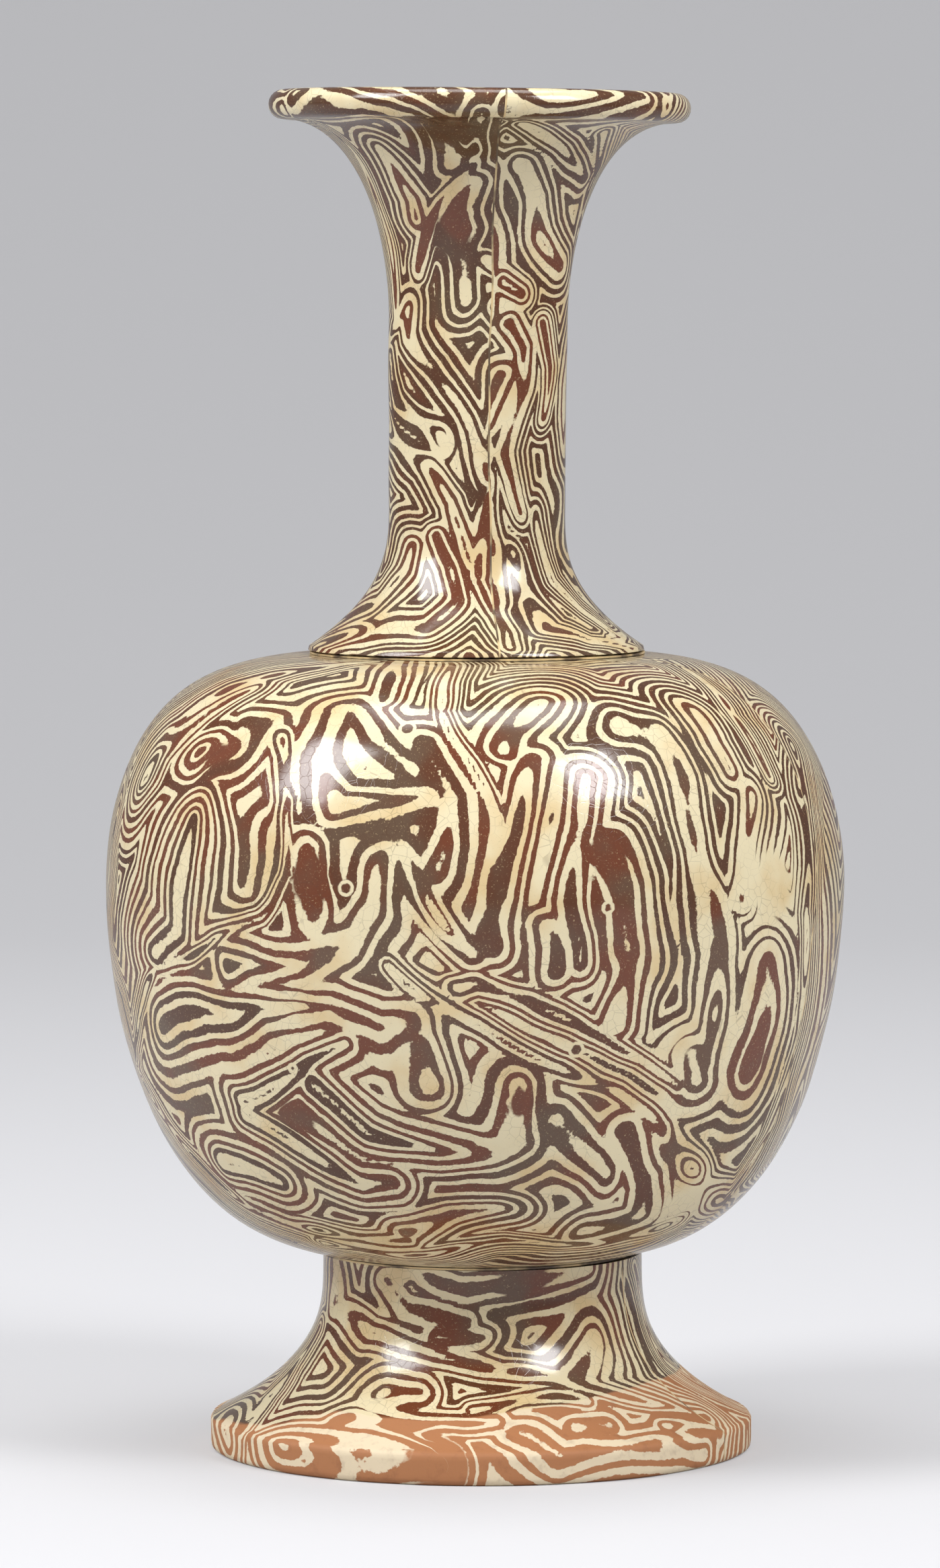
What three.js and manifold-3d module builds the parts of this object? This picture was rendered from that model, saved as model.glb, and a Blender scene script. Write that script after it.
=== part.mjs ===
// Marbled earthenware bottle vase: a globular body, a tall neck with a turned-out lip
// and a hollow spreading foot. Each is made of two moulded clay halves, and thin layers
// of slip lute the halves and the three stages together.
// Millimetres, +Z up, origin at the centre of the ring that the foot stands on.
// An azimuth of 0 is the front (-Y), and it grows towards the right (+X).

import * as THREE from 'three';
import { mergeVertices } from 'three/addons/utils/BufferGeometryUtils.js';
import Module from 'manifold-3d';

// Joints
const SLIP_THICKNESS = 0.3;
const JOINT_CLEARANCE = 0.1;
const BODY_SEAM_AZIMUTH = 65;
const NECK_SEAM_AZIMUTH = 8;
const FOOT_SEAM_AZIMUTH = 62;

// Foot: a thick clay sheet that sweeps in from a bare upright edge to a narrow throat
const FOOT_HEIGHT = 30.5;
const FOOT_RADIUS = 43;
const FOOT_EDGE_HEIGHT = 5.3;
const FOOT_EDGE_ROUNDING = 0.8;
const FOOT_RING_WIDTH = 5;
const FOOT_RING_HEIGHT = 2.4;
const FOOT_THROAT_RADIUS = 25.2;
const FOOT_THROAT_UPRIGHT = 1;
const FOOT_WALL = 5.2;
const FOOT_SWEEP_POWER = 2.8;

// Body: the curve below the girth is deeper and rounder than the flat shoulder above it
const BODY_RADIUS = 58.5;
const BODY_LOWER_HEIGHT = 60;
const BODY_UPPER_HEIGHT = 36.2;
const BODY_LOWER_POWERS = { height: 1.8, radius: 4.1 };
const BODY_UPPER_POWERS = { height: 1.9, radius: 5.1 };
const BODY_WALL = 4.2;
const BODY_MOUTH_RADIUS = 14;

// Neck: a slender tube that spreads into a collar below and a level lip above
const NECK_HEIGHT = 88.3;
const NECK_RADIUS = 14.1;
const NECK_WALL = 3.5;
const COLLAR_RADIUS = 26.6;
const COLLAR_EDGE = 0.7;
const COLLAR_SWEEP_HEIGHT = 21.5;
const COLLAR_SWEEP_POWER = 2.6;
const BORE_SWEEP_HEIGHT = 14;
const LIP_RADIUS = 33.3;
const LIP_THICKNESS = 4.6;
const LIP_NOSE = 2.2;
const LIP_TOP_WIDTH = 3.7;
const LIP_DISH = 0.9;
const FLARE_HEIGHT = 31.5;
const FLARE_POWER = 2.1;

// Facets
const ROUND_SEGMENTS = 40;
const CURVE_STEPS = 9;
const SEAT_STEPS = 2;

// Heights and gaps that follow from the sizes above
const BODY_GIRTH_Z = FOOT_HEIGHT + BODY_LOWER_HEIGHT;
const BODY_CROWN_Z = BODY_GIRTH_Z + BODY_UPPER_HEIGHT;
const LIP_TOP_Z = BODY_CROWN_Z + NECK_HEIGHT;
const JOINT_GAP = SLIP_THICKNESS + 2 * JOINT_CLEARANCE;
const BORE_RADIUS = NECK_RADIUS - NECK_WALL;
const CUTTER_SIZE = 4 * Math.max(LIP_TOP_Z, BODY_RADIUS);

const LOWER_BODY = { sign: -1, height: BODY_LOWER_HEIGHT, powers: BODY_LOWER_POWERS };
const UPPER_BODY = { sign: 1, height: BODY_UPPER_HEIGHT, powers: BODY_UPPER_POWERS };

const wasm = await Module();
wasm.setup();

// Solids

function toSolid(geometry) {
  const bare = geometry.clone();
  bare.deleteAttribute('normal');
  bare.deleteAttribute('uv');
  const merged = mergeVertices(bare, 1e-4);
  const mesh = new wasm.Mesh({
    numProp: 3,
    vertProperties: new Float32Array(merged.attributes.position.array),
    triVerts: new Uint32Array(merged.index.array),
  });
  mesh.merge();
  return new wasm.Manifold(mesh);
}

function toGeometry(solid) {
  const mesh = solid.getMesh();
  const geometry = new THREE.BufferGeometry();
  geometry.setAttribute('position', new THREE.BufferAttribute(mesh.vertProperties, 3));
  geometry.setIndex(new THREE.BufferAttribute(mesh.triVerts, 1));
  geometry.computeVertexNormals();
  return geometry;
}

// A turned solid whose seam falls in the middle of a facet
function turned(profile, seamAzimuth) {
  const geometry = new THREE.LatheGeometry(profile, ROUND_SEGMENTS);
  const halfFacet = 180 / ROUND_SEGMENTS;
  geometry.rotateX(Math.PI / 2);
  geometry.rotateZ(THREE.MathUtils.degToRad(seamAzimuth + halfFacet));
  return toSolid(geometry);
}

// Everything on the side of the seam that its azimuth turns towards, short of half the joint
function sideOfSeam(azimuth) {
  const block = new THREE.BoxGeometry(CUTTER_SIZE, CUTTER_SIZE, CUTTER_SIZE);
  block.translate(CUTTER_SIZE / 2 + JOINT_GAP / 2, 0, 0);
  block.rotateZ(THREE.MathUtils.degToRad(azimuth));
  return toSolid(block);
}

// The thin slab that the slip fills, on one side of the axis
function seamSlab(azimuth) {
  const slab = new THREE.BoxGeometry(SLIP_THICKNESS, CUTTER_SIZE, CUTTER_SIZE);
  slab.translate(0, -CUTTER_SIZE / 2, 0);
  slab.rotateZ(THREE.MathUtils.degToRad(azimuth));
  return toSolid(slab);
}

// Outlines, as radius and height

function point(radius, height) {
  return new THREE.Vector2(radius, height);
}

function closed(points) {
  return [...points, points[0].clone()];
}

// A curve that starts upright and spreads ever faster
function sweep(start, end, power) {
  const points = [];
  for (let i = 0; i <= CURVE_STEPS; i += 1) {
    const travel = i / CURVE_STEPS;
    const spread = travel ** power;
    points.push(point(
      THREE.MathUtils.lerp(start.x, end.x, spread),
      THREE.MathUtils.lerp(start.y, end.y, travel),
    ));
  }
  return points;
}

// A hollow quarter curve that starts upright and ends level
function cove(start, end, power) {
  const points = [];
  for (let i = 0; i <= CURVE_STEPS; i += 1) {
    const angle = (i / CURVE_STEPS) * Math.PI / 2;
    const rise = Math.sin(angle) ** (2 / power);
    const spread = 1 - Math.abs(Math.cos(angle)) ** (2 / power);
    points.push(point(
      THREE.MathUtils.lerp(start.x, end.x, spread),
      THREE.MathUtils.lerp(start.y, end.y, rise),
    ));
  }
  return points;
}

function arc(centre, radiusAcross, radiusUp, fromDegrees, toDegrees, steps) {
  const points = [];
  for (let i = 0; i <= steps; i += 1) {
    const angle = THREE.MathUtils.degToRad(fromDegrees + (toDegrees - fromDegrees) * i / steps);
    points.push(point(
      centre.x + radiusAcross * Math.cos(angle),
      centre.y + radiusUp * Math.sin(angle),
    ));
  }
  return points;
}

// Half of the body's outline, from its girth to the given radius
function bodyCurve(half, inset, endRadius) {
  const radius = BODY_RADIUS - inset;
  const height = half.height - inset;
  const endTurn = Math.acos((endRadius / radius) ** (half.powers.radius / 2));
  const points = [];
  for (let i = 0; i < CURVE_STEPS; i += 1) {
    const turn = endTurn * i / CURVE_STEPS;
    const across = radius * Math.cos(turn) ** (2 / half.powers.radius);
    const up = height * Math.sin(turn) ** (2 / half.powers.height);
    points.push(point(across, BODY_GIRTH_Z + half.sign * up));
  }
  points.push(point(endRadius, bodyHeightAt(half, inset, endRadius)));
  return points;
}

function bodyHeightAt(half, inset, radius) {
  const share = (radius / (BODY_RADIUS - inset)) ** half.powers.radius;
  const up = (half.height - inset) * (1 - share) ** (1 / half.powers.height);
  return BODY_GIRTH_Z + half.sign * up;
}

// A line that keeps a fixed gap outside the body, for what is luted onto it
function seat(half, gap, fromRadius, toRadius) {
  const points = [];
  for (let i = 0; i <= SEAT_STEPS; i += 1) {
    const radius = THREE.MathUtils.lerp(fromRadius, toRadius, i / SEAT_STEPS);
    points.push(point(radius, bodyHeightAt(half, 0, radius) + half.sign * gap));
  }
  return points;
}

// Foot

const footHollowRadius = FOOT_THROAT_RADIUS - FOOT_WALL;

function footProfile() {
  const edgeFlat = FOOT_RADIUS - FOOT_EDGE_ROUNDING;
  const upperEdge = point(edgeFlat, FOOT_EDGE_HEIGHT - FOOT_EDGE_ROUNDING);
  const lowerEdge = point(edgeFlat, FOOT_EDGE_ROUNDING);
  const ringInner = edgeFlat - FOOT_RING_WIDTH;
  const throatZ = FOOT_HEIGHT - FOOT_THROAT_UPRIGHT;
  const outside = sweep(
    point(FOOT_THROAT_RADIUS, throatZ),
    point(edgeFlat, FOOT_EDGE_HEIGHT),
    FOOT_SWEEP_POWER,
  );
  const hollow = sweep(
    point(footHollowRadius, throatZ),
    point(ringInner, FOOT_RING_HEIGHT),
    FOOT_SWEEP_POWER,
  );
  return closed([
    ...arc(lowerEdge, FOOT_EDGE_ROUNDING, FOOT_EDGE_ROUNDING, -90, 0, 2),
    ...arc(upperEdge, FOOT_EDGE_ROUNDING, FOOT_EDGE_ROUNDING, 0, 60, 2),
    ...outside.reverse(),
    ...seat(LOWER_BODY, JOINT_GAP, FOOT_THROAT_RADIUS, footHollowRadius),
    ...hollow,
    point(ringInner, 0),
  ]);
}

function footLutingProfile() {
  const upper = seat(LOWER_BODY, JOINT_CLEARANCE, FOOT_THROAT_RADIUS, footHollowRadius);
  const lower = seat(LOWER_BODY, JOINT_GAP - JOINT_CLEARANCE, footHollowRadius, FOOT_THROAT_RADIUS);
  return closed([...upper, ...lower]);
}

// Body

function bodyProfile() {
  const outerLower = bodyCurve(LOWER_BODY, 0, 0);
  const outerUpper = bodyCurve(UPPER_BODY, 0, BODY_MOUTH_RADIUS);
  const innerUpper = bodyCurve(UPPER_BODY, BODY_WALL, BODY_MOUTH_RADIUS);
  const innerLower = bodyCurve(LOWER_BODY, BODY_WALL, 0);
  return [
    ...outerLower.reverse(),
    ...outerUpper.slice(1),
    ...innerUpper.reverse(),
    ...innerLower.slice(1),
  ];
}

// Neck

function neckProfile() {
  const collarZ = bodyHeightAt(UPPER_BODY, 0, COLLAR_RADIUS) + JOINT_GAP + COLLAR_EDGE;
  const boreBaseZ = bodyHeightAt(UPPER_BODY, 0, BODY_MOUTH_RADIUS) + JOINT_GAP;
  const lipCentre = point(LIP_RADIUS - LIP_NOSE, LIP_TOP_Z - LIP_THICKNESS / 2);
  const lipUnder = point(lipCentre.x, LIP_TOP_Z - LIP_THICKNESS);
  const flareZ = lipUnder.y - FLARE_HEIGHT;
  const mouthEdge = point(LIP_RADIUS - LIP_TOP_WIDTH, LIP_TOP_Z - LIP_DISH);
  const collar = sweep(
    point(NECK_RADIUS, collarZ + COLLAR_SWEEP_HEIGHT),
    point(COLLAR_RADIUS, collarZ),
    COLLAR_SWEEP_POWER,
  );
  const boreBase = sweep(
    point(BORE_RADIUS, boreBaseZ + BORE_SWEEP_HEIGHT),
    point(BODY_MOUTH_RADIUS, boreBaseZ),
    COLLAR_SWEEP_POWER,
  );
  const flare = cove(point(NECK_RADIUS, flareZ), lipUnder, FLARE_POWER);
  const funnel = cove(point(BORE_RADIUS, flareZ), mouthEdge, FLARE_POWER);
  return closed([
    ...seat(UPPER_BODY, JOINT_GAP, BODY_MOUTH_RADIUS, COLLAR_RADIUS),
    ...collar.reverse(),
    ...flare,
    ...arc(lipCentre, LIP_NOSE, LIP_THICKNESS / 2, -90, 90, 6).slice(1),
    ...funnel.reverse(),
    ...boreBase.slice(0, -1),
  ]);
}

function neckLutingProfile() {
  const lower = seat(UPPER_BODY, JOINT_CLEARANCE, BODY_MOUTH_RADIUS, COLLAR_RADIUS);
  const upper = seat(UPPER_BODY, JOINT_GAP - JOINT_CLEARANCE, COLLAR_RADIUS, BODY_MOUTH_RADIUS);
  return closed([...lower, ...upper]);
}

// Colours and finishes

const glazedMarble = (color) => new THREE.MeshStandardMaterial({
  color,
  roughness: 0.16,
  metalness: 0,
});

const slip = (color) => new THREE.MeshStandardMaterial({
  color,
  roughness: 0.55,
  metalness: 0,
});

// Assembly

const vase = new THREE.Group();

function place(name, solid, material) {
  const mesh = new THREE.Mesh(toGeometry(solid), material);
  mesh.name = name;
  vase.add(mesh);
}

const foot = turned(footProfile(), FOOT_SEAM_AZIMUTH);
place('foot_front', foot.intersect(sideOfSeam(FOOT_SEAM_AZIMUTH + 180)), glazedMarble('#a8784c'));
place('foot_back', foot.intersect(sideOfSeam(FOOT_SEAM_AZIMUTH)), glazedMarble('#9c6f47'));
place('foot_right_luting', foot.intersect(seamSlab(FOOT_SEAM_AZIMUTH)), slip('#c9a57c'));
place('foot_left_luting', foot.intersect(seamSlab(FOOT_SEAM_AZIMUTH + 180)), slip('#c9a57c'));
place('foot_top_luting', turned(footLutingProfile(), FOOT_SEAM_AZIMUTH), slip('#d2b48a'));

const body = turned(bodyProfile(), BODY_SEAM_AZIMUTH);
const bodySlab = seamSlab(BODY_SEAM_AZIMUTH).add(seamSlab(BODY_SEAM_AZIMUTH + 180));
place('body_front', body.intersect(sideOfSeam(BODY_SEAM_AZIMUTH + 180)), glazedMarble('#ab8b63'));
place('body_back', body.intersect(sideOfSeam(BODY_SEAM_AZIMUTH)), glazedMarble('#a07f58'));
place('body_luting', body.intersect(bodySlab), slip('#d8c294'));

const neck = turned(neckProfile(), NECK_SEAM_AZIMUTH);
place('neck_base_luting', turned(neckLutingProfile(), NECK_SEAM_AZIMUTH), slip('#d2b48a'));
place('neck_right', neck.intersect(sideOfSeam(NECK_SEAM_AZIMUTH)), glazedMarble('#b08a60'));
place('neck_left', neck.intersect(sideOfSeam(NECK_SEAM_AZIMUTH + 180)), glazedMarble('#a3805a'));
place('neck_front_luting', neck.intersect(seamSlab(NECK_SEAM_AZIMUTH)), slip('#d8c294'));
place('neck_back_luting', neck.intersect(seamSlab(NECK_SEAM_AZIMUTH + 180)), slip('#d8c294'));

export default vase;
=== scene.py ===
"""Looks of a marbled earthenware bottle vase: fine skins over the CAD pieces, a marbling
laid out over each clay piece, a clear crackled glaze, soft studio light and the camera.
The vase is measured in millimetres, which MM turns into Blender's metres. Materials, paper
and lights are in metres."""
import math

import bmesh
import bpy
import numpy as np
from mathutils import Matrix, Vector


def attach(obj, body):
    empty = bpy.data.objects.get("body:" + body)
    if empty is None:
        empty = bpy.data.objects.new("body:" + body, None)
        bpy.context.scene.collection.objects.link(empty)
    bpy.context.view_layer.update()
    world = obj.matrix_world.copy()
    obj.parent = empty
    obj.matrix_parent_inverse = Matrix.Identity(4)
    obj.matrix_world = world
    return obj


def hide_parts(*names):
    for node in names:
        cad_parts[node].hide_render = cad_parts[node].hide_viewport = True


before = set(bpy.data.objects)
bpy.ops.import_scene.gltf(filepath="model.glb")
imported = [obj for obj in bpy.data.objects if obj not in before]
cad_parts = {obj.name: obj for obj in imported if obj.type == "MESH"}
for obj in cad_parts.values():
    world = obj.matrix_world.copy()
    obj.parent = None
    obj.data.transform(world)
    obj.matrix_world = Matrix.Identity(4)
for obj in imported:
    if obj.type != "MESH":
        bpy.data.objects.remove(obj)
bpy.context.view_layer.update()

MM = 0.001
SKIN_SPACING = 0.7
SHARP_EDGE = math.radians(50)
WELD_DISTANCE = 1e-7

# Joints
SLIP_WIDTH = 0.3
JOINT_GAP = 0.5
BODY_SEAM = math.radians(65)
NECK_SEAM = math.radians(8)
FOOT_SEAM = math.radians(62)

# Foot
FOOT_HEIGHT = 30.5
FOOT_RADIUS = 43.0
FOOT_EDGE_HEIGHT = 5.3
FOOT_EDGE_ROUNDING = 0.8
FOOT_RING_WIDTH = 5.0
FOOT_RING_HEIGHT = 2.4
FOOT_THROAT_RADIUS = 25.2
FOOT_WALL = 5.2
FOOT_POWER = 2.8

# Body
BODY_RADIUS = 58.5
BODY_LOWER_HEIGHT = 60.0
BODY_UPPER_HEIGHT = 36.2
BODY_LOWER_POWERS = (1.8, 4.1)
BODY_UPPER_POWERS = (1.9, 5.1)
BODY_WALL = 4.2
BODY_MOUTH_RADIUS = 14.0

# Neck
NECK_RADIUS = 14.1
NECK_WALL = 3.5
COLLAR_RADIUS = 26.6
COLLAR_EDGE = 0.7
COLLAR_SWEEP_HEIGHT = 21.5
COLLAR_POWER = 2.6
BORE_SWEEP_HEIGHT = 14.0
LIP_RADIUS = 33.3
LIP_THICKNESS = 4.6
LIP_NOSE = 2.2
LIP_TOP_WIDTH = 3.7
LIP_DISH = 0.9
FLARE_HEIGHT = 31.5
FLARE_POWER = 2.1

GIRTH_Z = FOOT_HEIGHT + BODY_LOWER_HEIGHT
CROWN_Z = GIRTH_Z + BODY_UPPER_HEIGHT
LIP_TOP_Z = 215.0
SEAT_WIDTH = 4
FOOT_EDGE_FLAT = 2
FOOT_THROAT_UPRIGHT = 1
BORE_RADIUS = NECK_RADIUS - NECK_WALL

# Camera, as fitted to the photograph
CAMERA_DISTANCE = 1200.0
CAMERA_HEIGHT = 188.0
CAMERA_LEFT = 1.17
CAMERA_PITCH = math.radians(3.93)
CAMERA_LENS = 174.0
CAMERA_SENSOR = 36


# Outlines, as rows of radius and height

def travel_along(points):
    """Distance along a line at each of its points."""
    steps = np.hypot(*np.diff(points, axis=0).T)
    return np.concatenate([[0], np.cumsum(steps)])


def matched(points, count):
    """The same line with the given number of points."""
    travel = travel_along(points)
    at = np.linspace(0, travel[-1], count)
    return np.stack([np.interp(at, travel, points[:, 0]), np.interp(at, travel, points[:, 1])], 1)


def resample(points, spacing):
    """The same line with its points an even distance apart."""
    length = travel_along(points)[-1]
    return matched(points, max(2, int(round(length / spacing)) + 1))


def sweep(start, end, power, steps=60):
    travel = np.linspace(0, 1, steps)
    radius = start[0] + (end[0] - start[0]) * travel ** power
    height = start[1] + (end[1] - start[1]) * travel
    return np.stack([radius, height], 1)


def cove(start, end, power, steps=60):
    angle = np.linspace(0, math.pi / 2, steps)
    rise = np.sin(angle) ** (2 / power)
    spread = 1 - np.abs(np.cos(angle)) ** (2 / power)
    radius = start[0] + (end[0] - start[0]) * spread
    height = start[1] + (end[1] - start[1]) * rise
    return np.stack([radius, height], 1)


def arc(centre, across, up, from_degrees, to_degrees, steps=12):
    angle = np.radians(np.linspace(from_degrees, to_degrees, steps))
    return np.stack([centre[0] + across * np.cos(angle), centre[1] + up * np.sin(angle)], 1)


def body_curve(upper, inset, end_radius, steps=120):
    """The body's outline from its girth to a radius, above or below the girth."""
    height_power, radius_power = BODY_UPPER_POWERS if upper else BODY_LOWER_POWERS
    height = (BODY_UPPER_HEIGHT if upper else BODY_LOWER_HEIGHT) - inset
    sign = 1 if upper else -1
    radius = BODY_RADIUS - inset
    turn = np.linspace(0, math.acos((end_radius / radius) ** (radius_power / 2)), steps)
    across = radius * np.abs(np.cos(turn)) ** (2 / radius_power)
    rise = height * np.sin(turn) ** (2 / height_power)
    return np.stack([across, GIRTH_Z + sign * rise], 1)


def body_height_at(upper, radius):
    height_power, radius_power = BODY_UPPER_POWERS if upper else BODY_LOWER_POWERS
    height = BODY_UPPER_HEIGHT if upper else BODY_LOWER_HEIGHT
    sign = 1 if upper else -1
    share = (np.asarray(radius) / BODY_RADIUS) ** radius_power
    return GIRTH_Z + sign * height * (1 - share) ** (1 / height_power)


def body_outline(spacing):
    outer = np.concatenate([body_curve(False, 0, 0)[::-1], body_curve(True, 0, BODY_MOUTH_RADIUS)[1:]])
    inner = np.concatenate([body_curve(False, BODY_WALL, 0)[::-1],
                            body_curve(True, BODY_WALL, BODY_MOUTH_RADIUS)[1:]])
    outer = resample(outer, spacing)
    return outer, matched(inner, len(outer))


def foot_outline(spacing):
    edge_flat = FOOT_RADIUS - FOOT_EDGE_ROUNDING
    ring_inner = edge_flat - FOOT_RING_WIDTH
    throat_z = FOOT_HEIGHT - FOOT_THROAT_UPRIGHT
    hollow = FOOT_THROAT_RADIUS - FOOT_WALL
    top_outer = (FOOT_THROAT_RADIUS, body_height_at(False, FOOT_THROAT_RADIUS) - JOINT_GAP)
    top_inner = (hollow, body_height_at(False, hollow) - JOINT_GAP)
    outer = np.concatenate([
        [(edge_flat - FOOT_EDGE_FLAT, 0), (edge_flat, 0)],
        arc((edge_flat, FOOT_EDGE_ROUNDING), FOOT_EDGE_ROUNDING, FOOT_EDGE_ROUNDING, -90, 0)[1:],
        arc((edge_flat, FOOT_EDGE_HEIGHT - FOOT_EDGE_ROUNDING), FOOT_EDGE_ROUNDING,
            FOOT_EDGE_ROUNDING, 0, 75),
        sweep((FOOT_THROAT_RADIUS, throat_z), (edge_flat, FOOT_EDGE_HEIGHT), FOOT_POWER)[::-1],
        [top_outer],
    ])
    inner = np.concatenate([
        [(ring_inner, 0)],
        sweep((hollow, throat_z), (ring_inner, FOOT_RING_HEIGHT), FOOT_POWER)[::-1],
        [top_inner],
    ])
    outer = resample(outer, spacing)
    return outer, matched(inner, len(outer))


def neck_outline(spacing):
    collar_z = float(body_height_at(True, COLLAR_RADIUS)) + JOINT_GAP + COLLAR_EDGE
    bore_z = float(body_height_at(True, BODY_MOUTH_RADIUS)) + JOINT_GAP
    nose = (LIP_RADIUS - LIP_NOSE, LIP_TOP_Z - LIP_THICKNESS / 2)
    under = (nose[0], LIP_TOP_Z - LIP_THICKNESS)
    flare_z = under[1] - FLARE_HEIGHT
    mouth = (LIP_RADIUS - LIP_TOP_WIDTH, LIP_TOP_Z - LIP_DISH)
    seat_radius = np.linspace(COLLAR_RADIUS - SEAT_WIDTH, COLLAR_RADIUS, 6)
    seat = np.stack([seat_radius, body_height_at(True, seat_radius) + JOINT_GAP], 1)
    outer = np.concatenate([
        seat,
        sweep((NECK_RADIUS, collar_z + COLLAR_SWEEP_HEIGHT), (COLLAR_RADIUS, collar_z), COLLAR_POWER)[::-1],
        cove((NECK_RADIUS, flare_z), under, FLARE_POWER),
        arc(nose, LIP_NOSE, LIP_THICKNESS / 2, -90, 90, 24)[1:],
    ])
    inner = np.concatenate([
        [(BODY_MOUTH_RADIUS, bore_z)],
        sweep((BORE_RADIUS, bore_z + BORE_SWEEP_HEIGHT), (BODY_MOUTH_RADIUS, bore_z), COLLAR_POWER)[::-1],
        cove((BORE_RADIUS, flare_z), mouth, FLARE_POWER),
    ])
    outer = resample(outer, spacing)
    return outer, matched(inner, len(outer))


# Smooth random fields

def ripple(points, seed, wavelength, waves=20):
    """A smooth random field of about unit size, as a sum of plane waves."""
    rng = np.random.default_rng(seed)
    size = points.shape[1]
    direction = rng.normal(size=(waves, size))
    direction /= np.linalg.norm(direction, axis=1, keepdims=True)
    scale = 2 * math.pi / (wavelength * rng.uniform(0.7, 1.6, waves))
    phase = rng.uniform(0, 2 * math.pi, waves)
    total = np.zeros(len(points))
    for k in range(waves):
        total += np.sin(points @ (direction[k] * scale[k]) + phase[k])
    return total * math.sqrt(2 / waves)


# Meshes

def turned_place(azimuth, radius, height):
    """Places from azimuths counted from the front towards +X, radii and heights."""
    return np.stack([radius * np.sin(azimuth), -radius * np.cos(azimuth), height], 1)


def shell_faces(columns, count, rows):
    """Faces between neighbouring columns of points, and a cap over the first and the last one.
    A column has rows points on its outer line and as many on its inner line."""
    grid = np.arange(columns * count).reshape(columns, count)
    turned = np.roll(grid, -1, axis=1)
    faces = [np.stack([grid[:-1], grid[1:], turned[1:], turned[:-1]], -1).reshape(-1, 4)]
    for column, flip in ((grid[0], False), (grid[-1], True)):
        outer = column[:rows]
        inner = column[::-1][:rows]
        cap = np.stack([outer[:-1], outer[1:], inner[1:], inner[:-1]], -1)
        faces.append(cap[:, ::-1] if flip else cap)
    return np.concatenate(faces)


def link(name, data):
    """A new object in the scene, from its mesh, light or camera."""
    thing = bpy.data.objects.new(name, data)
    bpy.context.collection.objects.link(thing)
    return thing


def shell(name, outline, limits, layers, lean, spots=(), patches=()):
    """A closed shell between an outer and an inner line, turned between two azimuths.
    limits gives the first and last azimuth at a radius and height."""
    outer, inner = outline
    line = np.concatenate([outer, inner[::-1]])
    start, end = limits(line[:, 0], line[:, 1])
    width = float(np.max(end - start)) * float(np.max(outer[:, 0]))
    columns = max(2, int(width / SKIN_SPACING) + 1)
    share = np.linspace(0, 1, columns)
    azimuth = (start[None] + (end - start)[None] * share[:, None]).ravel()
    radius = np.tile(line[:, 0], columns)
    height = np.tile(line[:, 1], columns)
    is_outer = np.tile(np.arange(len(line)) < len(outer), columns)
    true_place = turned_place(azimuth, radius, height)
    layer = layers(true_place)
    swell = np.where(is_outer, unevenness(true_place), 0)
    place = lean(turned_place(azimuth, radius + swell, height))
    mesh = bpy.data.meshes.new(name)
    faces = shell_faces(columns, len(line), len(outer))
    mesh.from_pydata((place * MM).tolist(), [], faces.tolist())
    fields = {
        "layer": layer,
        "spot": beyond_spots(place, spots),
        "pale": paleness(place, patches),
    }
    for field_name, values in fields.items():
        field = mesh.attributes.new(field_name, "FLOAT", "POINT")
        field.data.foreach_set("value", values.astype(np.float32))
    edit = bmesh.new()
    edit.from_mesh(mesh)
    bmesh.ops.remove_doubles(edit, verts=edit.verts, dist=WELD_DISTANCE)
    bmesh.ops.recalc_face_normals(edit, faces=edit.faces)
    edit.to_mesh(mesh)
    edit.free()
    mesh.shade_smooth()
    mesh.set_sharp_from_angle(angle=SHARP_EDGE)
    return link(name, mesh)


FAR_FROM_SPOTS = 9.0


def beyond_spots(places, spots):
    """Distance in millimetres of each place outside the nearest round spot."""
    beyond = np.full(len(places), FAR_FROM_SPOTS)
    for radius, centre in spots:
        beyond = np.minimum(beyond, np.linalg.norm(places - centre, axis=1) - radius)
    return beyond


def paleness(places, patches):
    """How much more cream, or below zero how much more brown, the clay is at each place."""
    total = np.zeros(len(places))
    for strength, size, centre in patches:
        total += strength * np.exp(-((np.linalg.norm(places - centre, axis=1) / size) ** 2))
    return total


SLOW_SWELL = 0.10
SLOW_SWELL_LENGTH = 42
QUICK_SWELL = 0.05
QUICK_SWELL_LENGTH = 17


def unevenness(place):
    """Hand-made swell of the outer skin, in millimetres."""
    return (SLOW_SWELL * ripple(place, 3, SLOW_SWELL_LENGTH)
            + QUICK_SWELL * ripple(place, 4, QUICK_SWELL_LENGTH))


SLOW_WANDER = np.radians(0.7)
SLOW_WANDER_LENGTH = 7.0
QUICK_WANDER = np.radians(0.4)
QUICK_WANDER_LENGTH = 2.9
NEAREST_AXIS = 3


def seam_wander(height):
    """How far a hand-cut seam strays from its azimuth on the way up."""
    return (SLOW_WANDER * np.sin(height / SLOW_WANDER_LENGTH)
            + QUICK_WANDER * np.sin(height / QUICK_WANDER_LENGTH + 1))


def half_slip(radius):
    """Half the slip's width as an angle, kept from growing without end near the axis."""
    return (SLIP_WIDTH / 2) / np.maximum(radius, NEAREST_AXIS)


def between_seams(seam, side):
    """From one seam to the opposite one, short of half the slip; side is 0 or 1."""
    def limits(radius, height):
        first = seam + side * math.pi
        short = half_slip(radius)
        return first + seam_wander(height) + short, first + math.pi + seam_wander(height) - short
    return limits


def along_seam(seam):
    """From one side of a seam's slip to the other."""
    def limits(radius, height):
        middle = seam + seam_wander(height)
        return middle - half_slip(radius), middle + half_slip(radius)
    return limits


TILT_START_Z = 195
TILT_REACH = 15


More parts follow.
